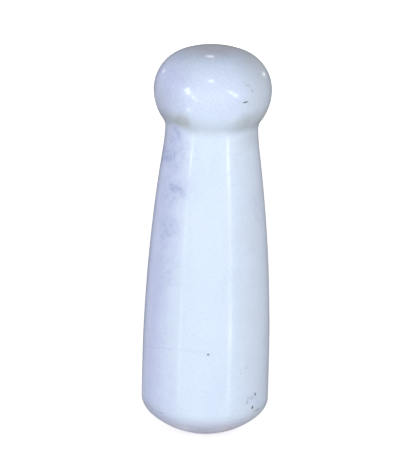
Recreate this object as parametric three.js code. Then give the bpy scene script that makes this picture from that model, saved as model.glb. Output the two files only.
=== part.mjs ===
// A hand pestle turned from one block of white marble: a domed grinding end, a body that
// swells from the neck down to the rim, and a rounded knob for the palm.
// Millimetres, +Z up along the turning axis, origin at the centre of the foot.

import * as THREE from 'three';

// Grinding end: a flat foot, a shallow crown around it and a tighter edge up to the rim
const FOOT_RADIUS = 6;
const GRINDING_CROWN_RADIUS = 29.8;
const GRINDING_EDGE_RADIUS = 10;
const RIM_LEAN_DEGREES = 17.4; // how far the dome turns in from the body's side at the rim

// Body: straight above the rim, then a long swell that turns into a cove under the knob
const BODY_RADIUS = 22.6;
const BODY_LENGTH = 101; // from the rim to the neck
const STRAIGHT_LENGTH = 12.3;
const NECK_RADIUS = 16.3;
const NECK_COVE_RADIUS = 62;

// Knob: an undercut that meets the neck in a corner, a shoulder and a shallow crown
const KNOB_RADIUS = 20.7;
const KNOB_UNDERCUT_RADIUS = 19.8;
const KNOB_SHOULDER_RADIUS = 14.1;
const KNOB_CROWN_RADIUS = 33.4;

// The most that a facet may leave the true curve
const CHORD_ERROR = 0.03;

const QUARTER_TURN = Math.PI / 2;

/** The angle whose chord leaves an arc of this radius by CHORD_ERROR. */
function facetAngle(radius) {
  return 2 * Math.acos(1 - CHORD_ERROR / radius);
}

/** Points along an arc of the profile, without the first, which the run before it ends on. */
function arcPoints(centre, radius, from, to) {
  const steps = Math.ceil(Math.abs(to - from) / facetAngle(radius));
  const arc = new THREE.EllipseCurve(centre.x, centre.y, radius, radius, from, to, to < from);
  return arc.getPoints(steps).slice(1);
}

/**
 * A rounded end that leaves a side of the given radius, leaning in by the given angle: an edge
 * arc, and a crown arc that is tangent to it and centred on the axis.
 * Heights count outwards from the side.
 */
function roundedEnd(sideRadius, lean, edgeRadius, crownRadius) {
  const edge = new THREE.Vector2(Math.cos(lean), Math.sin(lean)).multiplyScalar(-edgeRadius);
  edge.x += sideRadius;
  const rise = Math.sqrt((crownRadius - edgeRadius) ** 2 - edge.x ** 2);
  const crown = new THREE.Vector2(0, edge.y - rise);
  const tangent = Math.atan2(rise, edge.x);
  return { edge, crown, tangent };
}

/** The grinding end from the foot's centre up to the rim, and the rim's height. */
function grindingEnd() {
  const lean = THREE.MathUtils.degToRad(RIM_LEAN_DEGREES);
  const end = roundedEnd(BODY_RADIUS, lean, GRINDING_EDGE_RADIUS, GRINDING_CROWN_RADIUS);
  const footAngle = Math.acos(FOOT_RADIUS / GRINDING_CROWN_RADIUS);
  const rimHeight = end.crown.y + GRINDING_CROWN_RADIUS * Math.sin(footAngle);
  const crown = new THREE.Vector2(end.crown.x, rimHeight - end.crown.y);
  const edge = new THREE.Vector2(end.edge.x, rimHeight - end.edge.y);
  const points = [
    new THREE.Vector2(0, 0),
    new THREE.Vector2(FOOT_RADIUS, 0),
    ...arcPoints(crown, GRINDING_CROWN_RADIUS, -footAngle, -end.tangent),
    ...arcPoints(edge, GRINDING_EDGE_RADIUS, -end.tangent, -lean),
  ];
  return { points, rimHeight };
}

/** The body's side from the rim up to the neck, and the neck's height. */
function bodySide(rimHeight) {
  const neckHeight = rimHeight + BODY_LENGTH;
  const swellStart = rimHeight + STRAIGHT_LENGTH;
  const swellLength = BODY_LENGTH - STRAIGHT_LENGTH;
  const swellDepth = BODY_RADIUS - NECK_RADIUS;
  const bothRadii = (swellLength ** 2 + swellDepth ** 2) / (2 * swellDepth);
  const swellRadius = bothRadii - NECK_COVE_RADIUS;
  const sweep = Math.asin(swellLength / bothRadii);
  const swell = new THREE.Vector2(BODY_RADIUS - swellRadius, swellStart);
  const cove = new THREE.Vector2(NECK_RADIUS + NECK_COVE_RADIUS, neckHeight);
  const points = [
    new THREE.Vector2(BODY_RADIUS, swellStart),
    ...arcPoints(swell, swellRadius, 0, sweep),
    ...arcPoints(cove, NECK_COVE_RADIUS, Math.PI + sweep, Math.PI),
  ];
  return { points, neckHeight };
}

/** The knob from the neck up to the top of its crown, which lies on the axis. */
function knob(neckHeight) {
  const undercutX = KNOB_RADIUS - KNOB_UNDERCUT_RADIUS;
  const undercutAngle = Math.acos((NECK_RADIUS - undercutX) / KNOB_UNDERCUT_RADIUS);
  const widestHeight = neckHeight + KNOB_UNDERCUT_RADIUS * Math.sin(undercutAngle);
  const end = roundedEnd(KNOB_RADIUS, 0, KNOB_SHOULDER_RADIUS, KNOB_CROWN_RADIUS);
  const undercut = new THREE.Vector2(undercutX, widestHeight);
  const shoulder = new THREE.Vector2(end.edge.x, widestHeight + end.edge.y);
  const crown = new THREE.Vector2(end.crown.x, widestHeight + end.crown.y);
  const points = [
    ...arcPoints(undercut, KNOB_UNDERCUT_RADIUS, -undercutAngle, 0),
    ...arcPoints(shoulder, KNOB_SHOULDER_RADIUS, 0, end.tangent),
    ...arcPoints(crown, KNOB_CROWN_RADIUS, end.tangent, QUARTER_TURN),
  ];
  points.at(-1).x = 0;
  return points;
}

/** The whole solid, turned about +Z. */
function pestleGeometry() {
  const { points: endPoints, rimHeight } = grindingEnd();
  const { points: sidePoints, neckHeight } = bodySide(rimHeight);
  const profile = [...endPoints, ...sidePoints, ...knob(neckHeight)];
  const facetsInQuarter = Math.ceil(QUARTER_TURN / facetAngle(BODY_RADIUS));
  const geometry = new THREE.LatheGeometry(profile, 4 * facetsInQuarter);
  return geometry.rotateX(QUARTER_TURN);
}

const polishedMarble = new THREE.MeshStandardMaterial({
  color: 0xdee6f0,
  roughness: 0.22,
  metalness: 0,
});

const pestle = new THREE.Mesh(pestleGeometry(), polishedMarble);
pestle.name = 'pestle';

const part = new THREE.Group();
part.add(pestle);

export default part;
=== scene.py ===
"""A hand pestle turned from white marble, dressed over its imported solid, and the studio it stands in."""

import math
from typing import NamedTuple

import bmesh
import bpy
from bpy.props import FloatProperty, FloatVectorProperty, IntProperty, PointerProperty
from bpy.types import Operator, Panel, PropertyGroup
from mathutils import Matrix, Vector, noise
from mathutils.bvhtree import BVHTree


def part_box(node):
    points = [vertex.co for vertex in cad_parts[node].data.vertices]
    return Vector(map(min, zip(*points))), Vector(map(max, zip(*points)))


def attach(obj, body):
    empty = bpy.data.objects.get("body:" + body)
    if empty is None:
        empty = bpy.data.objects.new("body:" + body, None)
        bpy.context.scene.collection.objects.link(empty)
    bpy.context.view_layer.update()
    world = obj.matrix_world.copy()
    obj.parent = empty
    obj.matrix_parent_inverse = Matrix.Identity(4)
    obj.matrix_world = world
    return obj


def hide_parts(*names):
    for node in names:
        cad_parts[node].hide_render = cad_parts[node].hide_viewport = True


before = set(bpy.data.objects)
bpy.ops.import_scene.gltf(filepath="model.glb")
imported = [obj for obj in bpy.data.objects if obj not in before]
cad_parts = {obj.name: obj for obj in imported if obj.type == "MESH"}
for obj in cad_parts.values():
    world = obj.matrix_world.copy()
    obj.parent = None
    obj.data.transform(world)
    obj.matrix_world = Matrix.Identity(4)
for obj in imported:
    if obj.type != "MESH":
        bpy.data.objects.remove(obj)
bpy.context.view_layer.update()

bl_info = {
    "name": "Marble Pestle",
    "version": (1, 0, 0),
    "blender": (4, 5, 0),
    "location": "3D View > Sidebar > Pestle",
    "description": "Turns a white marble pestle and lights a small studio for it",
    "category": "Add Mesh",
}

MM = 0.001
STONE_NODE = "pestle"
STONE_BODY = "root"
STONE_SLOT = "polished_marble"
STONE_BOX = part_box(STONE_NODE)


class Dent(NamedTuple):
    """A pit, scratch or chip. Turn is in degrees from the front, slope in degrees from level, and the
    sizes are in mm."""

    turn: float
    height: float
    half_length: float
    half_width: float
    slope: float
    depth: float
    dirt: float


class Cloud(NamedTuple):
    """A soft grey place in the stone. Turn is in degrees from the front, the rest in mm."""

    turn: float
    height: float
    radius: float
    reach: float
    strength: float


GLINT_DISTANCE = 65


class Glint(NamedTuple):
    """A small lamp. Turn, rise and slope are in degrees, seen from the knob; the sizes are in mm."""

    name: str
    turn: float
    rise: float
    length: float
    start_width: float
    end_width: float
    slope: float
    brightness: float
    distance: float = GLINT_DISTANCE


class Strip(NamedTuple):
    """A narrow lamp beside the body. Turn is in degrees from the front, width and heights are in mm."""

    name: str
    foot_turn: float
    top_turn: float
    width: float
    changes: tuple


class SoftPanel(NamedTuple):
    """A soft lamp away from the stone, with its share of the panel power. Turn is in degrees from the
    front, width and height are in mm."""

    name: str
    turn: float
    width: float
    height: float
    share: float


DENTS = (
    # Knob: a short cut, and a curved scratch that ends in a spot
    Dent(33.6, 124.1, 1.3, 0.28, 6, 0.2, 0.85),
    Dent(34.3, 130.8, 1.0, 0.55, -35, 0.02, 0.07),
    Dent(37.6, 129.7, 1.1, 0.6, -30, 0.03, 0.15),
    Dent(40.9, 128.5, 1.3, 0.5, -67, 0.03, 0.1),
    Dent(42.4, 127.6, 0.6, 0.5, 0, 0.06, 0.28),
    # Body: the dark pit and the specks round it
    Dent(2.0, 34.4, 0.47, 0.35, 20, 0.3, 1.0),
    Dent(5.1, 33.0, 0.2, 0.16, 0, 0.06, 0.35),
    Dent(7.4, 32.5, 0.2, 0.15, 0, 0.06, 0.3),
    Dent(35.2, 39.2, 0.32, 0.26, 30, 0.08, 0.3),
    Dent(39.2, 28.3, 0.5, 0.3, 80, 0.12, 0.42),
    Dent(34.0, 26.7, 0.42, 0.25, 60, 0.08, 0.25),
    Dent(-64.9, 27.4, 0.5, 0.4, 40, 0.1, 0.35),
    # Foot of the body: two dark holes with specks beside them, and chips and creases on the rim
    Dent(52.4, 17.6, 0.85, 0.42, -59, 0.35, 0.85),
    Dent(48.9, 12.9, 0.85, 0.5, 80, 0.4, 1.0),
    Dent(58.0, 11.3, 1.8, 0.4, 0, 0.3, 0.4),
    Dent(52.6, 11.3, 0.5, 0.4, 0, 0.1, 0.4),
    Dent(42.3, 17.0, 0.5, 0.4, 0, 0.02, 0.25),
    Dent(46.4, 16.6, 0.7, 0.4, 85, 0.02, 0.22),
    Dent(49.1, 16.8, 0.6, 0.35, 80, 0.02, 0.25),
    Dent(41.5, 15.5, 0.9, 0.45, 80, 0.02, 0.3),
    Dent(-43.3, 10.5, 1.0, 0.3, -3, 0.2, 0.3),
    Dent(-48.0, 10.3, 4.4, 0.22, 1, 0.12, 0.22),
    Dent(132.0, 11.6, 2.1, 0.5, -3, 0.35, 0.45),
    Dent(-148.0, 11.4, 1.3, 0.4, 4, 0.25, 0.4),
)

# Clouds that reach farther than this, in mm, are swirled, and smaller ones only frayed
WIDE_REACH = 4
CLOUDS = (
    # Down the left of the body
    Cloud(-48.0, 111.7, 16.3, 2.6, 1.2),
    Cloud(-53.0, 108.0, 16.4, 4.8, 0.7),
    Cloud(-51.0, 102.7, 17.0, 5.5, 1.1),
    Cloud(-70.0, 102.5, 17.3, 4.8, 1.15),
    Cloud(-42.0, 91.7, 18.5, 3.2, 0.95),
    Cloud(-32.6, 91.0, 18.6, 2.0, 0.6),
    Cloud(-48.0, 90.0, 18.5, 7.0, 0.8),
    Cloud(-27.0, 92.5, 18.5, 5.0, 0.35),
    Cloud(-46.0, 77.8, 20.0, 5.5, 1.0),
    Cloud(-49.8, 72.2, 20.5, 4.0, 0.5),
    Cloud(-50.0, 64.0, 21.0, 7.5, 0.5),
    # A smudge beside the two holes
    Cloud(41.8, 16.2, 22.6, 1.7, 0.3),
    Cloud(46.6, 16.8, 22.6, 1.5, 0.3),
    Cloud(44.0, 15.6, 22.6, 2.0, 0.25),
    # Behind
    Cloud(150.0, 58.0, 20.0, 11.0, 0.8),
    Cloud(-160.0, 96.0, 18.0, 8.0, 0.7),
)

# Small lamps round the knob, which mirrors them as glints
GLINT_HEIGHT = 126
GLINTS = (
    Glint("left_glint", -42.7, 9.2, 15, 11.5, 11.5, -58, 7.2),
    Glint("left_tail", -29.3, -4.2, 17, 3.6, 1.2, -45, 13),
    Glint("left_low_glint", -33.2, -21, 3.2, 2.2, 2.2, -39, 6.3, 33),
    Glint("right_streak", 32.2, 9.4, 32, 1.2, 9.5, -42, 5.5),
    Glint("front_glint", -4.3, 38, 11, 8, 8, 0, 6.2),
    Glint("top_glint", -173, 62.3, 8, 3.4, 3.4, -25, 8.2),
    Glint("left_edge_glint", -121.5, 15.7, 9, 5, 5, 14, 2.5),
    Glint("right_edge_glint", 122.7, 14, 7, 3.5, 3.5, -25, 7.8),
)

# Two upright strips that the body mirrors as lines: the brightness at the foot, and then its changes
# on the way up, each from one height to another
STRIP_DISTANCE = 62
STRIP_BOTTOM = 3
STRIP_TOP = 108
STRIPS = (
    Strip(
        "left_strip",
        -39.2,
        -41.2,
        5.2,
        (2.0, (36, 46, -0.8), (60, 68, 1.0), (80, 88, -1.6), (92, 97, 1.2), (100.5, 103.5, 5.5)),
    ),
    Strip(
        "right_strip",
        35.7,
        35.7,
        6.6,
        (2.4, (20, 32, 1.5), (36, 48, -1.9), (72, 92, 1.5), (94, 101, 2.1)),
    ),
)

# Two wide lamps at the front, left and right, and a narrower one for the back
PANEL_DISTANCE = 900
PANEL_RISE = 400
PANEL_AIM_HEIGHT = 80
SOFT_PANELS = (
    SoftPanel("left_panel", -42, 800, 210, 1.0),
    SoftPanel("right_panel", 42, 800, 210, 1.0),
    SoftPanel("back_panel", 180, 400, 100, 0.7),
)

# What the polish mirrors, as rings given by radius and height: a closed surround, and a shelf that keeps
# the strips out of the knob's reflections
SURROUND = ((8, 1), (100, 1), (600, 1), (600, 250), (600, 800), (300, 1000), (10, 1050))
SHELF = ((18, 112.3), (61, 112.3))
RING_SEGMENTS = 180

# The surround is bright in an opening, up to these turns in degrees near the stone and farther out, and
# dim on its walls, with two paler cards behind
OPENING_LEFT = (39.0, 46.5)
OPENING_RIGHT = (35.0, 42.0)
OPENING_BRIGHTNESS = 0.5
BACK_CARD_BRIGHTNESS = 0.22
SIDE_CARD_TURN = -129.0
SIDE_CARD_BRIGHTNESS = 0.27
WALL_BRIGHTNESS = 0.1

# The floor and the camera's reach, with lengths in metres
FLOOR_RADIUS = 6.0
FLOOR_SEGMENTS = 64
FLOOR_COLOUR = (0.79, 0.78, 0.76)
FLOOR_GLOW = 0.61
CAMERA_NEAR = 0.05
CAMERA_FAR = 50

# The turned mesh
FEWEST_STEPS = 6.0  # along a run of the section
MERGE_DISTANCE = 0.002  # in mm, closes the seam and the poles

# Waves and dents, in mm
WAVE_LENGTH = 15
FLAT_HEIGHT = 1.5  # there are no waves below it
RAY_START = 100  # from the axis, outside the stone
FRONT_LINE_WIDTH = 0.0001
LOWEST_RING = 0.1  # of the points that tell the turned surface, just above the foot
SPLIT_REACHES = (1.3, 0.6)  # room round a dent where faces are split, first and again
RESET_REACH = 2.5  # room round it where points are set back on the turned surface
RAGGED_GRAIN = 0.45

# Dents, as shares
DENT_REACH = 1.4  # of the half length, past the ragged edge
RAGGED_SHARE = 0.3
WALL_STEEPNESS = 1.6  # above 1 the dent has a level floor
DIRT_STEEPNESS = 2.5  # above 1 the dirt is full before the middle

# The old crack lies in one plane through the stone: height = level + slopes across X and Y, in mm
CRACK_LEVEL = 26.35
CRACK_SLOPE_X = -0.123
CRACK_SLOPE_Y = -0.3865

# Limits in the marble: the least radius in mm that left and right are measured on, the thickest painted
# shade, and the dullest polish
LEAST_RADIUS = 14.0
MOST_PAINTED_SHADE = 0.78
DULLEST_POLISH = 0.265
MARBLE_IOR = 1.5

# What is added to the roughness
PAINTED_SHADE_ROUGHNESS = 0.15
NECK_ROUGHNESS = 0.085
DIRT_ROUGHNESS = 0.4

# Relief of the surface, in mm before its strength
RIPPLE_HEIGHT = 0.012
STREAK_HEIGHT = 0.25
SCUFF_HEIGHT = 0.1
RELIEF_STRENGTH = 0.35


def length(name, description, default):
    """A length in metres that the sidebar shows in the scene's unit."""
    return FloatProperty(name=name, description=description, default=default, min=0, unit="LENGTH")


def angle(name, description, degrees):
    """An angle that is kept in radians."""
    default = math.radians(degrees)
    return FloatProperty(name=name, description=description, default=default, subtype="ANGLE")


def colour(name, description, default):
    """A linear colour."""
    return FloatVectorProperty(
        name=name, description=description, default=default, size=3, min=0, max=1, subtype="COLOR"
    )


class PestleSizes(PropertyGroup):
    """The turned form, as arcs and lines from the foot to the top of the knob."""

    full_height: length("Full Height", "From the foot to the top of the knob", STONE_BOX[1].z)
    foot_radius: length("Foot Radius", "Flat that the stone stands on", 6 * MM)
    grinding_crown_radius: length("Grinding Crown Radius", "Shallow arc round the foot", 29.8 * MM)
    grinding_edge_radius: length("Grinding Edge Radius", "Tighter arc up to the rim", 10 * MM)
    rim_lean: angle("Rim Lean", "How far the dome turns in from the side at the rim", 17.4)
    rim_round: length("Rim Round", "Radius that wear has left on the rim", 5 * MM)
    body_radius: length("Body Radius", "Widest radius, above the rim", STONE_BOX[1].x)
    straight_length: length("Straight Length", "Straight side above the rim", 12.3 * MM)
    neck_height: length("Neck Height", "From the foot to the corner under the knob", 112.3 * MM)
    neck_radius: length("Neck Radius", "Narrowest radius, under the knob", 16.3 * MM)
    neck_cove_radius: length("Neck Cove Radius", "Hollow arc that runs up to the neck", 62 * MM)
    neck_fillet: length("Neck Fillet", "Radius in the corner under the knob", 5.2 * MM)
    knob_radius: length("Knob Radius", "Widest radius of the knob", 20.7 * MM)
    knob_undercut_radius: length("Knob Undercut Radius", "Arc below the widest place", 17.6 * MM)
    knob_shoulder_radius: length("Knob Shoulder Radius", "Arc above the widest place", 14.4 * MM)
    knob_crown_radius: length("Knob Crown Radius", "Shallow arc over the top", 32.8 * MM)
    mesh_step: length("Mesh Step", "Spacing of the rings of faces", 0.8 * MM)
    columns: IntProperty(name="Columns", description="Faces round the stone", default=192, min=16)
    hand_wave: length("Hand Wave", "Unevenness that polishing by hand leaves", 0.03 * MM)


class MarbleFinish(PropertyGroup):
    """Colours and gloss of the stone, some of the colours painted light and shade."""

    stone: colour("Stone", "Cool white of the marble", (0.69, 0.80, 0.965))
    # Violet: painted light, the cast of the light from the left; it also cools the knob
    violet: colour("Violet", "Tint of the stone towards the left", (0.60, 0.66, 0.915))
    # Grey: painted light, the cast of the light from the right
    grey: colour("Grey", "Tint of the stone towards the right", (0.64, 0.715, 0.85))
    cloud: colour("Cloud", "Grey clouds and veins", (0.385, 0.45, 0.71))
    # Dust on the ground end; towards the foot it also paints the shade of the down-facing dome
    dust_and_shade: colour("Dust and Shade", "Ground-in grey of the unpolished end", (0.58, 0.535, 0.71))
    # Painted light: a pale bounce from the floor on the lower flanks of the dome
    painted_bounce: colour("Painted Bounce", "Pale bloom on the flanks of the unpolished end", (0.97, 0.95, 1.0))
    # Painted shade on top of the knob: grey where less light falls from above and behind
    wear_and_shade: colour("Top Shade", "Grey that palms have left on top of the knob", (0.58, 0.595, 0.72))
    # Painted shade: the darkening under the knob and at the sides of the neck, the knob and the rim
    painted_shade: colour("Painted Shade", "Old grime under the knob and along the rim", (0.40, 0.44, 0.465))
    dirt: colour("Dirt", "Dark filling of pits and chips", (0.05, 0.06, 0.08))
    polish_edge: length("Polish Edge", "Height where the polish stops", 11.3 * MM)
    polish: FloatProperty(
        name="Polish", description="Roughness of the polished body and knob", default=0.16, min=0, max=1
    )
    ground: FloatProperty(
        name="Ground", description="Roughness of the unpolished grinding end", default=0.5, min=0, max=1
    )


class StudioLook(PropertyGroup):
    """Camera and light."""

    camera_lens: FloatProperty(
        name="Camera Lens", description="Focal length", default=265.1, min=1, unit="CAMERA"
    )
    camera_distance: length("Camera Distance", "From the camera to what it looks at", 1.2)
    camera_rise: angle("Camera Rise", "How far the camera looks down", 15)
    camera_roll: angle("Camera Roll", "How far the camera is tipped, so that the stone leans right", 1.504)
    target_x: FloatProperty(
        name="Target X", description="Where the camera looks, sideways", default=-0.384 * MM, unit="LENGTH"
    )
    target_z: length("Target Z", "Where the camera looks, above the floor", 73.378 * MM)
    horizon: FloatProperty(
        name="Horizon", description="Light that comes level from all round", default=1.47, min=0
    )
    zenith: FloatProperty(name="Zenith", description="Light from straight above", default=0.3, min=0)
    behind: FloatProperty(
        name="Behind", description="Share of that light that comes from behind", default=0.65, min=0
    )
    panel_power: FloatProperty(
        name="Panel Power", description="Each of the two front lamps", default=2.235, min=0, unit="POWER"
    )


def connect(tree, value, socket):
    """Sets a socket to a constant, or links it to what another node gives."""
    if isinstance(value, Term):
        tree.links.new(value.socket, socket)
    elif isinstance(value, bpy.types.NodeSocket):
        tree.links.new(value, socket)
    else:
        socket.default_value = value


def add(tree, kind, inputs=None, **settings):
    """Adds a node with these settings and inputs."""
    node = tree.nodes.new(kind)
    for name, value in settings.items():
        setattr(node, name, value)
    for name, value in (inputs or {}).items():
        connect(tree, value, node.inputs[name])
    return node


class Term:
    """A number in a node tree. A sum written with it adds the Math nodes that work it out."""

    def __init__(self, tree, socket):
        self.tree = tree
        self.socket = socket

    def math(self, operation, *others):
        values = enumerate((self, *others))
        node = add(self.tree, "ShaderNodeMath", dict(values), operation=operation)
        return Term(self.tree, node.outputs[0])

    def __add__(self, other):
        return self.math("ADD", other)

    def __sub__(self, other):
        return self.math("SUBTRACT", other)

    def __rsub__(self, other):
        return self.math("MULTIPLY_ADD", -1.0, other)

    def __mul__(self, other):
        return self.math("MULTIPLY", other)

    def __truediv__(self, other):
        return self.math("DIVIDE", other)

    def __neg__(self):
        return self * -1.0

    def squared(self):
        return self * self

    def root(self):
        return self.math("SQRT")

    def sine(self):
        return self.math("SINE")

    def cosine(self):
        return self.math("COSINE")

    def absolute(self):
        return self.math("ABSOLUTE")

    def at_most(self, other):
        return self.math("MINIMUM", other)

    def at_least(self, other):
        return self.math("MAXIMUM", other)

    def ramp(self, low, high, start=0.0, end=1.0):
        """Goes smoothly from start to end as this number goes from low to high."""
        inputs = {"Value": self, "From Min": low, "From Max": high, "To Min": start, "To Max": end}
        node = add(self.tree, "ShaderNodeMapRange", inputs, interpolation_type="SMOOTHSTEP")
        return Term(self.tree, node.outputs["Result"])


class Profile:
    """The runs of half a lengthwise section, from the foot up: X is the radius and Y the height."""

    def __init__(self, tree, step):
        self.tree = tree
        self.step = step
        self.runs = []

    def point(self, x, y):
        return add(self.tree, "ShaderNodeCombineXYZ", {"X": x, "Y": y}).outputs[0]

    def steps(self, run_length):
        """How many points a run of this length has."""
        return (run_length / self.step).math("CEIL").at_least(FEWEST_STEPS) + 1.0

    def line(self, start, end, run_length):
        ends = {"Start": self.point(*start), "End": self.point(*end)}
        line = add(self.tree, "GeometryNodeCurvePrimitiveLine", ends)
        points = {"Curve": line.outputs[0], "Count": self.steps(run_length)}
        self.runs.append(add(self.tree, "GeometryNodeResampleCurve", points).outputs[0])

    def arc(self, centre, radius, start, end):
        sweep = end - start
        shape = {
            "Resolution": self.steps(radius * sweep.absolute()),
            "Radius": radius,
            "Start Angle": start,
            "Sweep Angle": sweep,
        }
        arc = add(self.tree, "GeometryNodeCurveArc", shape)
        place = {"Geometry": arc.outputs[0], "Translation": self.point(*centre)}
        self.runs.append(add(self.tree, "GeometryNodeTransform", place).outputs[0])

    def joined(self):
        """All runs in one geometry, in order along the section."""
        join = add(self.tree, "GeometryNodeJoinGeometry")
        for run in reversed(self.runs):
            self.tree.links.new(run, join.inputs[0])
        return join.outputs[0]


def tree_inputs(tree, sizes):
    """Gives the tree an input for each size, and returns them as terms by property name."""
    group_input = add(tree, "NodeGroupInput")
    kinds = {"FLOAT": "NodeSocketFloat", "INT": "NodeSocketInt"}
    numbers = [size for size in sizes.bl_rna.properties if size.type in kinds]
    for size in numbers:
        tree.interface.new_socket(size.name, in_out="INPUT", socket_type=kinds[size.type])
    return {size.identifier: Term(tree, group_input.outputs[size.name]) for size in numbers}


def crown_over(edge_x, edge_radius, crown_radius):
    """How far back from an edge arc's centre the crown that it runs into has its own centre on the axis,
    and the angle where the two arcs meet."""
    back = ((crown_radius - edge_radius).squared() - edge_x.squared()).root()
    return back, back.math("ARCTAN2", edge_x)


def lay_out_grinding_end(profile, size):
    """The foot, the dome and the rim that wear has rounded. Returns the rim's height and where the side
    starts.
    """
    # The rim's round is what wear has left
    body, lean, wear_and_shade = size["body_radius"], size["rim_lean"], size["rim_round"]
    foot, crown, edge = size["foot_radius"], size["grinding_crown_radius"], size["grinding_edge_radius"]
    edge_x = body - edge * lean.cosine()
    back, tangent = crown_over(edge_x, edge, crown)
    foot_angle = (foot / crown).math("ARCCOSINE")
    crown_z = crown * foot_angle.sine()
    edge_z = crown_z - back
    worn_x = body - wear_and_shade
    worn_drop = ((edge - wear_and_shade).squared() - (worn_x - edge_x).squared()).root()
    worn_angle = (-worn_drop).math("ARCTAN2", worn_x - edge_x)
    profile.line((0.0, 0.0), (foot, 0.0), foot)
    profile.arc((0.0, crown_z), crown, -foot_angle, -tangent)
    profile.arc((edge_x, edge_z), edge, -tangent, worn_angle)
    profile.arc((worn_x, edge_z - worn_drop), wear_and_shade, worn_angle, 0.0)
    return edge_z - edge * lean.sine(), edge_z - worn_drop


def lay_out_body(profile, size, rim, side_start, cove_stop):
    """The straight side, the long swell and the cove that ends where the neck's fillet starts."""
    body, neck, cove = size["body_radius"], size["neck_radius"], size["neck_cove_radius"]
    swell_start = rim + size["straight_length"]
    swell_length = size["neck_height"] - swell_start
    swell_depth = body - neck
    both = (swell_length.squared() + swell_depth.squared()) / (swell_depth * 2.0)
    swell = both - cove
    sweep = (swell_length / both).math("ARCSINE")
    profile.line((body, side_start), (body, swell_start), swell_start - side_start)
    profile.arc((body - swell, swell_start), swell, 0.0, sweep)
    profile.arc((neck + cove, size["neck_height"]), cove, sweep + math.pi, cove_stop + math.pi)


def measure_knob(size):
    """The centres of the knob's arcs, and the angles where they meet."""
    shoulder, crown = size["knob_shoulder_radius"], size["knob_crown_radius"]
    shoulder_x = size["knob_radius"] - shoulder
    back, tangent = crown_over(shoulder_x, shoulder, crown)
    crown_z = size["full_height"] - crown
    widest = crown_z + back
    undercut_x = size["knob_radius"] - size["knob_undercut_radius"]
    # The fillet touches the cove from the inside and the undercut from the outside
    cove_x = size["neck_radius"] + size["neck_cove_radius"]
    from_cove = size["neck_cove_radius"] - size["neck_fillet"]
    from_undercut = size["knob_undercut_radius"] + size["neck_fillet"]
    across, down = cove_x - undercut_x, widest - size["neck_height"]
    apart = (across.squared() + down.squared()).root()
    along = (apart.squared() + from_undercut.squared() - from_cove.squared()) / (apart * 2.0)
    aside = (from_undercut.squared() - along.squared()).root()
    fillet_right = (along * across - aside * down) / apart
    fillet_drop = (along * down + aside * across) / apart
    return {
        "crown": (0.0, crown_z),
        "shoulder": (shoulder_x, widest),
        "undercut": (undercut_x, widest),
        "fillet": (undercut_x + fillet_right, widest - fillet_drop),
        "tangent": tangent,
        "fillet_end": fillet_drop.math("ARCTAN2", fillet_right),
        "cove_stop": ((fillet_drop - down) / from_cove).math("ARCSINE"),
    }


def lay_out_knob(profile, size, knob):
    """The fillet in the corner, the undercut, the shoulder and the crown."""
    fillet_end, tangent = knob["fillet_end"], knob["tangent"]
    profile.arc(knob["fillet"], size["neck_fillet"], knob["cove_stop"] + math.pi, math.pi - fillet_end)
    profile.arc(knob["undercut"], size["knob_undercut_radius"], -fillet_end, 0.0)
    profile.arc(knob["shoulder"], size["knob_shoulder_radius"], 0.0, tangent)
    profile.arc(knob["crown"], size["knob_crown_radius"], tangent, math.pi / 2)


def turn_profile(tree, section, columns):
    """A closed mesh turned about +Z from the section's points, with its seam at the back."""
    counted = add(tree, "GeometryNodeAttributeDomainSize", {"Geometry": section}, component="CURVE")
    rows = Term(tree, counted.outputs["Point Count"])
    counts = {"Vertices X": columns + 1.0, "Vertices Y": rows}
    grid = add(tree, "GeometryNodeMeshGrid", {"Size X": 1.0, "Size Y": 1.0, **counts})
    place = add(tree, "GeometryNodeInputPosition")
    cell = add(tree, "ShaderNodeSeparateXYZ", {0: place.outputs[0]})
    turn = Term(tree, cell.outputs["X"]) * math.tau
    row = ((Term(tree, cell.outputs["Y"]) + 0.5) * (rows - 1.0)).math("ROUND")
    sample = add(tree, "GeometryNodeSampleIndex", data_type="FLOAT_VECTOR", domain="POINT")
    for name, value in (("Geometry", section), ("Value", place.outputs[0]), ("Index", row)):
        connect(tree, value, sample.inputs[name])
    point = add(tree, "ShaderNodeSeparateXYZ", {0: sample.outputs["Value"]})
    radius = Term(tree, point.outputs["X"])
    turned = {"X": radius * turn.sine(), "Y": -(radius * turn.cosine()), "Z": point.outputs["Y"]}
    position = add(tree, "ShaderNodeCombineXYZ", turned)
    moved = {"Geometry": grid.outputs["Mesh"], "Position": position.outputs[0]}
    surface = add(tree, "GeometryNodeSetPosition", moved)
    merged = {"Geometry": surface.outputs[0], "Distance": MERGE_DISTANCE * MM}
    closed = add(tree, "GeometryNodeMergeByDistance", merged)
    return add(tree, "GeometryNodeSetShadeSmooth", {"Geometry": closed.outputs[0]}).outputs[0]


def turned_stone_tree(sizes, material):
    """The whole stone as a node tree with an input for each of its sizes."""
    tree = bpy.data.node_groups.new("turned_stone", "GeometryNodeTree")
    tree.interface.new_socket("Geometry", in_out="OUTPUT", socket_type="NodeSocketGeometry")
    size = tree_inputs(tree, sizes)
    profile = Profile(tree, size["mesh_step"])
    knob = measure_knob(size)
    rim, side_start = lay_out_grinding_end(profile, size)
    lay_out_body(profile, size, rim, side_start, knob["cove_stop"])
    lay_out_knob(profile, size, knob)
    surface = turn_profile(tree, profile.joined(), size["columns"])
    real = add(tree, "GeometryNodeRealizeInstances", {"Geometry": surface})
    finished = {"Geometry": real.outputs[0], "Material": material}
    dressed = add(tree, "GeometryNodeSetMaterial", finished)
    output = add(tree, "NodeGroupOutput")
    tree.links.new(dressed.outputs[0], output.inputs["Geometry"])
    return tree


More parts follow.
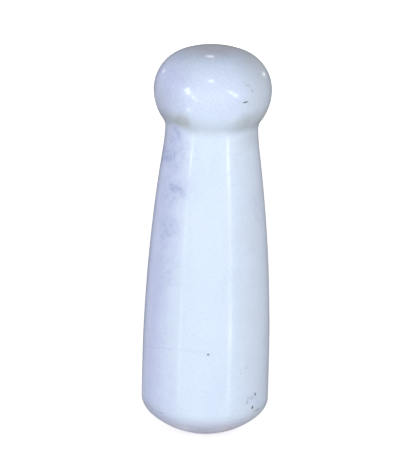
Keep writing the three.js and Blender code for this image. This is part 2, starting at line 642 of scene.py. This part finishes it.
def made_by_nodes(context, name, tree, sizes):
    """An object whose plain mesh is what the tree makes of these sizes."""
    piece = bpy.data.objects.new(name, bpy.data.meshes.new(name))
    context.scene.collection.objects.link(piece)
    modifier = piece.modifiers.new(tree.name, "NODES")
    modifier.node_group = tree
    by_name = {size.name: size.identifier for size in sizes.bl_rna.properties}
    for item in tree.interface.items_tree:
        if item.in_out == "INPUT":
            modifier[item.identifier] = getattr(sizes, by_name[item.name])
    depsgraph = context.evaluated_depsgraph_get()
    mesh = bpy.data.meshes.new_from_object(piece.evaluated_get(depsgraph))
    piece.modifiers.remove(modifier)
    piece.data = mesh
    mesh.name = name
    return piece


class DentPlace(NamedTuple):
    """Where a dent lies on the surface, with the directions of its length, its width and its depth."""

    dent: Dent
    centre: Vector
    along: Vector
    across: Vector
    outward: Vector

    def reaches(self, point, spare):
        """Whether a point lies within the dent, or this far from it."""
        return (point - self.centre).length < self.dent.half_length * MM * DENT_REACH + spare

    def nearness(self, point):
        """1 at the dent's middle, 0 at its ragged edge and below 0 outside it."""
        offset = point - self.centre
        ragged = 1 + RAGGED_SHARE * noise.noise(point / (RAGGED_GRAIN * MM))
        along = offset.dot(self.along) / (self.dent.half_length * MM)
        across = offset.dot(self.across) / (self.dent.half_width * MM)
        deep = offset.dot(self.outward) / (self.dent.half_length * MM)
        return 1 - math.sqrt(along**2 + across**2 + deep**2) * ragged


def direction_of(turn):
    """Outward from the axis at a turn in degrees, counted from the front towards +X."""
    return Vector((math.sin(math.radians(turn)), -math.cos(math.radians(turn)), 0))


def place_dents(mesh_tree, dents):
    """Finds each dent's place by looking at the surface from outside."""
    places = []
    for dent in dents:
        out = direction_of(dent.turn)
        start = out * (RAY_START * MM) + Vector((0, 0, dent.height * MM))
        centre, normal, _, _ = mesh_tree.ray_cast(start, -out)
        level = Vector((0, 0, 1)).cross(normal).normalized()
        along = Matrix.Rotation(math.radians(dent.slope), 3, normal) @ level
        places.append(DentPlace(dent, centre, along, normal.cross(along), normal))
    return places


def ring_radius(rings, height):
    """The section's radius at a height, from the cubic through the four nearest rings."""
    above = next(i for i, (z, _) in enumerate(rings) if z > height)
    first = min(max(above - 2, 0), len(rings) - 4)
    near = rings[first : first + 4]
    total = 0
    for level, radius in near:
        share = 1
        for other, _ in near:
            if other != level:
                share *= (height - other) / (level - other)
        total += share * radius
    return total


def refine_around(bm, places):
    """Splits the faces near each dent twice, and sets the points there on the turned surface."""
    points = [vert.co for vert in bm.verts]
    front = [co for co in points if abs(co.x) < FRONT_LINE_WIDTH * MM and co.y < 0]
    rings = sorted((co.z, -co.y) for co in front if co.z > LOWEST_RING * MM)
    for reach in SPLIT_REACHES:
        edges = set()
        for place in places:
            for face in bm.faces:
                if place.reaches(face.calc_center_median(), reach * MM):
                    edges.update(face.edges)
        bmesh.ops.subdivide_edges(bm, edges=list(edges), cuts=1, use_grid_fill=True)
    for vert in bm.verts:
        if any(place.reaches(vert.co, RESET_REACH * MM) for place in places):
            vert.co.xy *= ring_radius(rings, vert.co.z) / vert.co.xy.length


def wear(mesh, sizes):
    """Gives the turned surface its hand-polished waves, and its pits, scratches and chips."""
    bm = bmesh.new()
    bm.from_mesh(mesh)
    places = place_dents(BVHTree.FromBMesh(bm), DENTS)
    refine_around(bm, places)
    dirt = bm.verts.layers.float.new("dirt")
    bm.normal_update()
    moves = {}
    for vert in bm.verts:
        lift = 0
        if vert.co.z > FLAT_HEIGHT * MM:
            lift = sizes.hand_wave * noise.noise(vert.co / (WAVE_LENGTH * MM))
        for place in places:
            if not place.reaches(vert.co, 0):
                continue
            nearness = place.nearness(vert.co)
            if nearness > 0:
                lift -= place.dent.depth * MM * min(1, WALL_STEEPNESS * nearness)
                vert[dirt] = max(vert[dirt], place.dent.dirt * min(1, DIRT_STEEPNESS * nearness))
        moves[vert] = vert.normal * lift
    for vert, move in moves.items():
        vert.co += move
    bm.normal_update()
    bm.to_mesh(mesh)
    bm.free()


class MarbleNodes:
    """Short ways to write the marble's node tree, in millimetres on Object coordinates."""

    def __init__(self, tree):
        self.tree = tree
        place = add(tree, "ShaderNodeTexCoord").outputs["Object"]
        self.place = self.vector("SCALE", place, scale=1 / MM)
        axes = add(tree, "ShaderNodeSeparateXYZ", {0: self.place})
        self.x, self.y, self.z = (Term(tree, axis) for axis in axes.outputs)
        from_axis = (self.x.squared() + self.y.squared()).root()
        self.sideways = self.x / from_axis.at_least(LEAST_RADIUS)

    def vector(self, operation, first, second=None, scale=None):
        node = add(self.tree, "ShaderNodeVectorMath", {0: first}, operation=operation)
        if second is not None:
            connect(self.tree, second, node.inputs[1])
        if scale is not None:
            connect(self.tree, scale, node.inputs["Scale"])
        return node.outputs["Value" if operation == "DISTANCE" else "Vector"]

    def noise(self, grain, place=None, detail=3.0, roughness=0.5, distortion=0.0):
        """Noise whose features are about this many millimetres across."""
        inputs = {
            "Vector": place or self.place,
            "Scale": 1 / grain,
            "Detail": detail,
            "Roughness": roughness,
            "Distortion": distortion,
        }
        return add(self.tree, "ShaderNodeTexNoise", inputs)

    def level(self, *args, **settings):
        return Term(self.tree, self.noise(*args, **settings).outputs["Fac"])

    def warped(self, grain, amount):
        """The place, pushed about by noise."""
        push = self.noise(grain, detail=2.0).outputs["Color"]
        centred = self.vector("SUBTRACT", push, (0.5, 0.5, 0.5))
        return self.vector("ADD", self.place, self.vector("SCALE", centred, scale=amount))

    def mix(self, share, first, second):
        """Two colours mixed. A Mix node names its sockets alike for every type, so they go by number."""
        node = add(self.tree, "ShaderNodeMix", {0: share}, data_type="RGBA")
        for socket, value in ((node.inputs[6], first), (node.inputs[7], second)):
            connect(self.tree, value, socket)
        return node.outputs[2]


def opaque(rgb):
    """A colour with its alpha."""
    return (*rgb, 1.0)


def cloud_amount(nodes):
    """How much grey there is in the stone, from the large clouds down to the fine veins."""
    swirled = nodes.warped(9.0, 7.0)
    frayed = nodes.warped(2.5, 1.6)
    fibre = nodes.level(2.4, detail=4.0, roughness=0.65, distortion=0.8).ramp(0.36, 0.68, 0.2, 1.1)
    total = nodes.level(26.0, detail=5.0, roughness=0.6, distortion=0.7).ramp(0.42, 0.75, 0.0, 0.09)
    for cloud in CLOUDS:
        centre = direction_of(cloud.turn) * cloud.radius + Vector((0, 0, cloud.height))
        place = swirled if cloud.reach > WIDE_REACH else frayed
        away = Term(nodes.tree, nodes.vector("DISTANCE", place, tuple(centre)))
        total = total + away.ramp(cloud.reach * 0.2, cloud.reach * 1.3, 0.5 * cloud.strength, 0.0) * fibre
    vein = (nodes.level(17.0, place=swirled, detail=3.0) - 0.5).absolute().ramp(0.0, 0.03, 0.11, 0.0)
    return total + vein * nodes.level(30.0, detail=1.0).ramp(0.45, 0.65)


def crack_amount(nodes):
    """A broken hairline where the old crack's plane meets the surface, plainest on the left."""
    wander = nodes.level(5.0, detail=4.0) - 0.5
    gap = nodes.z - nodes.x * CRACK_SLOPE_X - nodes.y * CRACK_SLOPE_Y - CRACK_LEVEL + wander * 1.6
    broken = nodes.level(6.0, detail=2.0).ramp(0.42, 0.6)
    plain = nodes.sideways.ramp(-0.45, -0.1, 1.0, 0.35)
    return gap.absolute().ramp(0.05, 0.45, 0.18, 0.0) * broken * plain


def painted_shade_amount(nodes, sizes, finish):
    """Painted shade under the knob, least at the front, and at both sides on the neck, the knob and the
    rim. Heights count from the corner under the knob or from the rim, in mm."""
    corner = sizes.neck_height / MM
    rim = finish.polish_edge / MM
    z, sideways = nodes.z, nodes.sideways
    # All of this is painted shade, darker where less light reaches: under the knob, on the sides and by the
    # rim
    patches = nodes.level(5.0, detail=4.0, roughness=0.6).ramp(0.3, 0.7, 0.65, 0.95)
    off_centre = nodes.x.absolute().ramp(3.0, 13.0)
    left_patch = (nodes.x + 10.0).absolute().ramp(0.8, 3.6, 1.0, 0.0) * nodes.y.ramp(-8.0, 0.0, 1.0, 0.0)
    right_patch = nodes.x.ramp(6.0, 11.0)
    wander = nodes.level(7.0, detail=2.0) * 2.0
    rise = z - corner - wander - off_centre * 2.0 - (left_patch + right_patch) * 0.45
    thickest = left_patch * z.ramp(corner + 1.5, corner + 3.5) * 0.7
    spread = off_centre * 0.75 + thickest + nodes.x.ramp(5.0, 15.0, 0.25, 0.12)
    lowest = (z - off_centre * 3.0 + right_patch).ramp(corner - 3.0, corner + 0.5)
    underside = rise.ramp(0.5, 5.7, 0.75, 0.0) * lowest * spread
    below = z.ramp(corner - 9.0, corner - 2.0) * z.ramp(corner, corner + 2.0, 1.0, 0.0)
    neck = (sideways.ramp(-0.97, -0.75, 0.35, 0.0) + sideways.ramp(0.45, 0.95, 0.0, 0.38)) * below
    left_flank = sideways.ramp(-1.0, -0.4, 0.3, 0.0) * z.ramp(corner + 12.0, corner + 18.0, 1.0, 0.0)
    right_flank = sideways.ramp(0.4, 1.0, 0.0, 0.3)
    flanks = (left_flank + right_flank) * z.ramp(corner + 4.0, corner + 8.0)
    along_rim = z.ramp(rim - 7.0, rim - 1.0) * z.ramp(rim, rim + 3.0, 1.0, 0.0)
    edge = (sideways.ramp(-0.95, -0.5, 0.42, 0.0) + sideways.ramp(0.55, 0.95, 0.0, 0.28)) * along_rim
    return ((underside + neck) * patches + flanks + edge).at_most(MOST_PAINTED_SHADE)


def stone_colour(nodes, sizes, finish):
    """The marble: a painted cast of light to each side, grain, clouds, the crack, and painted shade on top.
    """
    top = sizes.full_height / MM
    corner = sizes.neck_height / MM
    # Painted light: the casts of the light from the left and from the right, mottled, fading behind
    tide = (nodes.level(14.0, detail=3.0) - 0.5) * 0.45 + (nodes.level(3.0, detail=2.0) - 0.5) * 0.25
    in_front = nodes.y.ramp(2.0, 13.0, 1.0, 0.25)
    painted_left_cast = (tide - nodes.sideways).ramp(0.33, 0.95) * in_front
    painted_right_cast = (tide + nodes.sideways).ramp(0.33, 0.95) * in_front
    on_knob = nodes.z.ramp(corner + 3.0, corner + 11.0, 0.0, 0.25)
    cooled = (painted_left_cast + on_knob) * nodes.z.ramp(top - 10.0, top - 3.0, 1.0, 0.5)
    tint = nodes.mix(cooled, opaque(finish.stone), opaque(finish.violet))
    tint = nodes.mix(painted_right_cast, tint, opaque(finish.grey))
    grain = nodes.level(0.8, detail=3.0, roughness=0.6).ramp(0.4, 0.75, 0.0, 0.2)
    grain = grain * (painted_left_cast * 0.6 + on_knob * 2.0 + 0.6)
    greyed = nodes.mix(cloud_amount(nodes) + grain, tint, opaque(finish.cloud))
    cracked = nodes.mix(crack_amount(nodes), greyed, opaque(finish.cloud))
    # Painted shade on top of the knob, in patches
    top_shade_patches = nodes.level(4.5, detail=4.0, roughness=0.6).ramp(0.3, 0.7, 0.6, 1.3)
    return nodes.mix(nodes.z.ramp(top - 2.4, top - 0.2) * top_shade_patches, cracked, opaque(finish.wear_and_shade))


class GroundEnd(NamedTuple):
    """How far the stone is left unpolished, and the streaks and scuffs that grinding leaves there."""

    unpolished: Term
    streaks: Term
    scuffs: Term


def ground_end(nodes, finish):
    """The grinding end below the polish, which stops in a ragged edge, with level streaks."""
    rim = finish.polish_edge / MM
    scuffs = nodes.level(2.2, detail=3.0)
    drawn_out = nodes.vector("MULTIPLY", nodes.place, (0.25, 0.25, 2.2))
    streaks = nodes.level(2.5, place=drawn_out, detail=4.0, roughness=0.6)
    unpolished = (nodes.z + (scuffs - 0.5) * 2.4).ramp(rim - 2.0, rim + 0.2, 1.0, 0.0)
    return GroundEnd(unpolished, streaks, scuffs)


def marble_colour(nodes, sizes, finish, end, painted_shade, dirt):
    """The stone under what lies on it: dust that also paints shade near the foot, a painted pale bounce of
    light on the grinding end's lower flanks, painted shade, and dirt in the dents.
    """
    rim = finish.polish_edge / MM
    # Partly dust, partly painted shade: heaviest at the foot, where the dome faces down
    dust_and_shade = end.unpolished * end.streaks.ramp(0.36, 0.7, 0.4, 1.25) * nodes.z.ramp(2.0, rim - 1.0, 1.0, 0.15)
    # Painted light: the floor's pale bounce on the lower flanks of the dome
    painted_bounce = nodes.x.absolute().ramp(3.0, 7.0) * nodes.z.ramp(5.5, 8.0, 0.22, 0.0)
    surface = stone_colour(nodes, sizes, finish)
    # Over the stone go dust that also paints shade, a painted pale bounce, painted shade, and dirt in the
    # dents
    layers = ((dust_and_shade, finish.dust_and_shade), (painted_bounce, finish.painted_bounce), (painted_shade, finish.painted_shade), (dirt, finish.dirt))
    for amount, tone in layers:
        surface = nodes.mix(amount, surface, opaque(tone))
    return surface


def marble_roughness(nodes, sizes, finish, end, painted_shade, dirt):
    """A polish with faint smears, duller in the corner under the knob, and matt on the grinding end."""
    corner = sizes.neck_height / MM
    smear = nodes.level(8.0, detail=3.0).ramp(0.3, 0.8, -0.02, 0.03)
    at_neck = nodes.z.ramp(corner - 5.0, corner - 1.5) * nodes.z.ramp(corner + 3.0, corner + 6.0, 1.0, 0.0)
    gloss = smear + painted_shade * PAINTED_SHADE_ROUGHNESS + at_neck * NECK_ROUGHNESS + finish.polish
    matt = end.unpolished * (finish.ground - finish.polish)
    return matt + gloss.at_most(DULLEST_POLISH) + dirt * DIRT_ROUGHNESS


def marble_relief(nodes, end):
    """Faint ripples in the polish, and the scratches of the grinding end."""
    ripple = nodes.level(1.6, detail=2.0) * RIPPLE_HEIGHT
    streaks = end.streaks * end.unpolished * STREAK_HEIGHT
    scuffs = end.scuffs * end.unpolished * SCUFF_HEIGHT
    relief = {"Height": ripple + (streaks + scuffs), "Distance": 1 * MM, "Strength": RELIEF_STRENGTH}
    return add(nodes.tree, "ShaderNodeBump", relief).outputs[0]


def marble_material(finish, sizes):
    """Polished white marble, left matt below the rim."""
    material = bpy.data.materials.new(STONE_SLOT)
    material.use_nodes = True
    tree = material.node_tree
    tree.nodes.clear()
    nodes = MarbleNodes(tree)
    end = ground_end(nodes, finish)
    # Painted shade under the knob and at the sides
    painted_shade = painted_shade_amount(nodes, sizes, finish)
    dirt = Term(tree, add(tree, "ShaderNodeAttribute", attribute_name="dirt").outputs["Fac"])
    surface = {
        "Base Color": marble_colour(nodes, sizes, finish, end, painted_shade, dirt),
        "Roughness": marble_roughness(nodes, sizes, finish, end, painted_shade, dirt),
        "Normal": marble_relief(nodes, end),
        "IOR": MARBLE_IOR,
    }
    shader = add(tree, "ShaderNodeBsdfPrincipled", surface)
    output = add(tree, "ShaderNodeOutputMaterial")
    tree.links.new(shader.outputs[0], output.inputs["Surface"])
    return material


def staged(context, name, mesh, material):
    """Adds a mesh that belongs to the studio and not to the pestle."""
    prop = bpy.data.objects.new(name, mesh)
    mesh.materials.append(material)
    context.scene.collection.objects.link(prop)
    return prop


def only_in_reflections(prop):
    """Lets the polish mirror a lit card that nothing else sees."""
    prop.visible_camera = False
    prop.visible_diffuse = False
    prop.visible_transmission = False
    prop.visible_volume_scatter = False
    prop.visible_shadow = False


def emission_material(name, sampling):
    """A new material and its Emission shader. Sampling says whether it is sampled as a lamp."""
    material = bpy.data.materials.new(name)
    material.use_nodes = True
    material.cycles.emission_sampling = sampling
    tree = material.node_tree
    tree.nodes.clear()
    emission = add(tree, "ShaderNodeEmission")
    output = add(tree, "ShaderNodeOutputMaterial")
    tree.links.new(emission.outputs[0], output.inputs["Surface"])
    return material, emission


def seen_directly(tree):
    """1 for what the camera sees, straight or in a mirror or glass, and 0 for light on a surface."""
    path = add(tree, "ShaderNodeLightPath")
    seen = Term(tree, path.outputs["Is Camera Ray"])
    for way in ("Is Glossy Ray", "Is Transmission Ray"):
        seen = seen.at_least(Term(tree, path.outputs[way]))
    return seen


def light_world(context, look):
    """White to look at, and an even soft light on the stone."""
    world = bpy.data.worlds.new("studio")
    context.scene.world = world
    world.use_nodes = True
    tree = world.node_tree
    background = tree.nodes["Background"]
    background.inputs["Color"].default_value = (1, 1, 1, 1)
    axes = add(tree, "ShaderNodeSeparateXYZ", {0: add(tree, "ShaderNodeTexCoord").outputs["Generated"]})
    sky = Term(tree, axes.outputs["Z"]).ramp(0.0, 0.9, look.horizon, look.zenith)
    sky = sky * Term(tree, axes.outputs["Y"]).ramp(-0.3, 0.7, 1.0, look.behind)
    seen = seen_directly(tree)
    connect(tree, seen + (1 - seen) * sky, background.inputs["Strength"])


def floor_mesh():
    """A wide flat disc."""
    mesh = bpy.data.meshes.new("floor")
    bm = bmesh.new()
    bmesh.ops.create_circle(bm, cap_ends=True, radius=FLOOR_RADIUS, segments=FLOOR_SEGMENTS)
    bm.to_mesh(mesh)
    bm.free()
    return mesh


def lay_floor(context):
    """A pale floor that looks white and keeps the soft shadow at the foot."""
    material = bpy.data.materials.new("pale_floor")
    material.use_nodes = True
    material.cycles.emission_sampling = "NONE"
    tree = material.node_tree
    tree.nodes.clear()
    matt = add(tree, "ShaderNodeBsdfDiffuse", {"Color": opaque(FLOOR_COLOUR)})
    glow = add(tree, "ShaderNodeEmission", {"Strength": seen_directly(tree) * FLOOR_GLOW})
    both = add(tree, "ShaderNodeAddShader", {0: matt.outputs[0], 1: glow.outputs[0]})
    output = add(tree, "ShaderNodeOutputMaterial")
    tree.links.new(both.outputs[0], output.inputs["Surface"])
    staged(context, "floor", floor_mesh(), material)


def surround_material():
    """A bright opening in front, dim walls round the rest, and two paler cards on them behind."""
    material, emission = emission_material("surround", "NONE")
    tree = material.node_tree
    axes = add(tree, "ShaderNodeSeparateXYZ", {0: add(tree, "ShaderNodeTexCoord").outputs["Object"]})
    x, y, z = (Term(tree, axis) for axis in axes.outputs)
    turn = x.math("ARCTAN2", -y).math("DEGREES")
    away = (x.squared() + y.squared()).root()
    wall = z.ramp(0.0, 0.04)
    left_edge = away.ramp(0.04, 0.25, *OPENING_LEFT) + wall * 2.0 + turn
    right_edge = away.ramp(0.04, 0.2, *OPENING_RIGHT) - wall * 1.4 - turn
    opening = left_edge.ramp(-6.0, 1.0) * right_edge.ramp(-2.0, 0.0)
    low = z.ramp(0.22, 0.45, 1.0, 0.0)
    back_card = y.ramp(0.25, 0.5) * z.ramp(0.13, 0.2) * z.ramp(0.42, 0.6, 1.0, 0.0)
    side_card = (turn - SIDE_CARD_TURN).absolute().ramp(6.0, 18.0, SIDE_CARD_BRIGHTNESS, 0.0)
    strength = opening * low * OPENING_BRIGHTNESS + back_card * BACK_CARD_BRIGHTNESS
    connect(tree, strength + side_card + WALL_BRIGHTNESS, emission.inputs["Strength"])
    return material


def banded_mesh(name, outlines):
    """Bands turned about the axis from outlines that are given by radius and height, in mm."""
    mesh = bpy.data.meshes.new(name)
    bm = bmesh.new()
    directions = [direction_of(360 * i / RING_SEGMENTS) for i in range(RING_SEGMENTS)]
    for outline in outlines:
        rings = []
        for radius, height in outline:
            centre = Vector((0, 0, height))
            rings.append([bm.verts.new((centre + outward * radius) * MM) for outward in directions])
        for inner, outer in zip(rings, rings[1:]):
            for i in range(RING_SEGMENTS):
                bm.faces.new((inner[i - 1], inner[i], outer[i], outer[i - 1]))
    bm.to_mesh(mesh)
    bm.free()
    return mesh


def hang_surround(context):
    """Hangs the surround and the shelf, both in one mesh."""
    mesh = banded_mesh("surround", (SURROUND, SHELF))
    only_in_reflections(staged(context, "surround", mesh, surround_material()))


def hang_card(context, name, corners, material):
    """Hangs a flat card with these four corners, which only the polish mirrors."""
    mesh = bpy.data.meshes.new(name)
    mesh.from_pydata(corners, [], [(0, 1, 2, 3)])
    only_in_reflections(staged(context, name, mesh, material))


def hang_strips(context):
    """Hangs the two narrow upright strips close to the body, which draws each out into a line."""
    for strip in STRIPS:
        material, emission = emission_material(strip.name, "NONE")
        tree = material.node_tree
        place = add(tree, "ShaderNodeTexCoord").outputs["Object"]
        height = Term(tree, add(tree, "ShaderNodeSeparateXYZ", {0: place}).outputs["Z"]) / MM
        brightness = strip.changes[0]
        for low, high, change in strip.changes[1:]:
            brightness = height.ramp(low, high, 0.0, change) + brightness
        connect(tree, brightness, emission.inputs["Strength"])
        corners = []
        ends = ((strip.foot_turn, STRIP_BOTTOM, (-1, 1)), (strip.top_turn, STRIP_TOP, (1, -1)))
        for turn, level, sides in ends:
            outward = direction_of(turn)
            sideways = Vector((0, 0, 1)).cross(outward) * (strip.width / 2)
            for sign in sides:
                corners.append((outward * STRIP_DISTANCE + sideways * sign + Vector((0, 0, level))) * MM)
        hang_card(context, strip.name, corners, material)


def hang_glints(context):
    """Hangs the small lamps round the knob, facing it."""
    knob = Vector((0, 0, GLINT_HEIGHT * MM))
    for glint in GLINTS:
        material, emission = emission_material(glint.name, "AUTO")
        emission.inputs["Strength"].default_value = glint.brightness
        rise, slope = math.radians(glint.rise), math.radians(glint.slope)
        outward = direction_of(glint.turn) * math.cos(rise) + Vector((0, 0, math.sin(rise)))
        level = Vector((0, 0, 1)).cross(outward).normalized()
        along = level * math.cos(slope) + outward.cross(level) * math.sin(slope)
        across = outward.cross(along)
        corners = []
        for end, width, sides in ((-1, glint.start_width, (-1, 1)), (1, glint.end_width, (1, -1))):
            for side in sides:
                offset = along * (end * glint.length / 2) + across * (side * width / 2)
                corners.append(knob + (outward * glint.distance + offset) * MM)
        hang_card(context, glint.name, corners, material)


def hang_panels(context, look):
    """Soft lamps that light the stone without showing in it."""
    middle = Vector((0, 0, PANEL_AIM_HEIGHT * MM))
    for soft in SOFT_PANELS:
        lamp = bpy.data.lights.new(soft.name, "AREA")
        lamp.shape = "RECTANGLE"
        lamp.size = soft.width * MM
        lamp.size_y = PANEL_RISE * MM
        lamp.energy = look.panel_power * soft.share
        panel = bpy.data.objects.new(soft.name, lamp)
        panel.location = (direction_of(soft.turn) * PANEL_DISTANCE + Vector((0, 0, soft.height))) * MM
        panel.rotation_euler = (middle - panel.location).to_track_quat("-Z", "Y").to_euler()
        panel.visible_camera = False
        panel.visible_glossy = False
        context.scene.collection.objects.link(panel)


def set_camera(context, look):
    """The camera, in front of the stone and a little above it."""
    camera = bpy.data.cameras.new("camera")
    camera.lens = look.camera_lens
    camera.clip_start = CAMERA_NEAR
    camera.clip_end = CAMERA_FAR
    view = bpy.data.objects.new("camera", camera)
    context.scene.collection.objects.link(view)
    target = Matrix.Translation((look.target_x, 0, look.target_z))
    tilt = Matrix.Rotation(math.pi / 2 - look.camera_rise, 4, "X")
    roll = Matrix.Rotation(look.camera_roll, 4, "Z")
    away = Matrix.Translation((0, 0, look.camera_distance))
    view.matrix_world = target @ tilt @ roll @ away
    context.scene.camera = view


class PESTLE_OT_turn_stone(Operator):
    """Turn the marble pestle and wear its surface"""

    bl_idname = "pestle.turn_stone"
    bl_label = "Turn Stone"
    bl_options = {"REGISTER", "UNDO"}

    def execute(self, context):
        sizes = context.scene.pestle_sizes
        material = marble_material(context.scene.pestle_finish, sizes)
        tree = turned_stone_tree(sizes, material)
        stone = made_by_nodes(context, "pestle_stone", tree, sizes)
        if not stone.data.polygons:
            raise RuntimeError("the turned stone came out empty")
        wear(stone.data, sizes)
        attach(stone, STONE_BODY)
        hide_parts(STONE_NODE)
        return {"FINISHED"}


class PESTLE_OT_light_studio(Operator):
    """Set up the floor, the lamps and the camera"""

    bl_idname = "pestle.light_studio"
    bl_label = "Light Studio"
    bl_options = {"REGISTER", "UNDO"}

    def execute(self, context):
        look = context.scene.pestle_studio
        light_world(context, look)
        lay_floor(context)
        hang_surround(context)
        hang_strips(context)
        hang_glints(context)
        hang_panels(context, look)
        set_camera(context, look)
        context.scene.view_settings.view_transform = "Standard"
        return {"FINISHED"}


class PESTLE_PT_sidebar(Panel):
    """The pestle's operators, with the values that they read"""

    bl_label = "Marble Pestle"
    bl_idname = "PESTLE_PT_sidebar"
    bl_space_type = "VIEW_3D"
    bl_region_type = "UI"
    bl_category = "Pestle"

    def draw(self, context):
        scene = context.scene
        for operator, groups in (
            (PESTLE_OT_turn_stone, (scene.pestle_sizes, scene.pestle_finish)),
            (PESTLE_OT_light_studio, (scene.pestle_studio,)),
        ):
            box = self.layout.box()
            box.operator(operator.bl_idname)
            for group in groups:
                for name in group.__annotations__:
                    box.prop(group, name)


CLASSES = (
    PestleSizes,
    MarbleFinish,
    StudioLook,
    PESTLE_OT_turn_stone,
    PESTLE_OT_light_studio,
    PESTLE_PT_sidebar,
)


def register():
    for cls in CLASSES:
        bpy.utils.register_class(cls)
    bpy.types.Scene.pestle_sizes = PointerProperty(type=PestleSizes)
    bpy.types.Scene.pestle_finish = PointerProperty(type=MarbleFinish)
    bpy.types.Scene.pestle_studio = PointerProperty(type=StudioLook)


def unregister():
    del bpy.types.Scene.pestle_studio
    del bpy.types.Scene.pestle_finish
    del bpy.types.Scene.pestle_sizes
    for cls in reversed(CLASSES):
        bpy.utils.unregister_class(cls)


def main():
    register()
    bpy.ops.pestle.turn_stone()
    bpy.ops.pestle.light_studio()


if __name__ == "__main__":
    main()
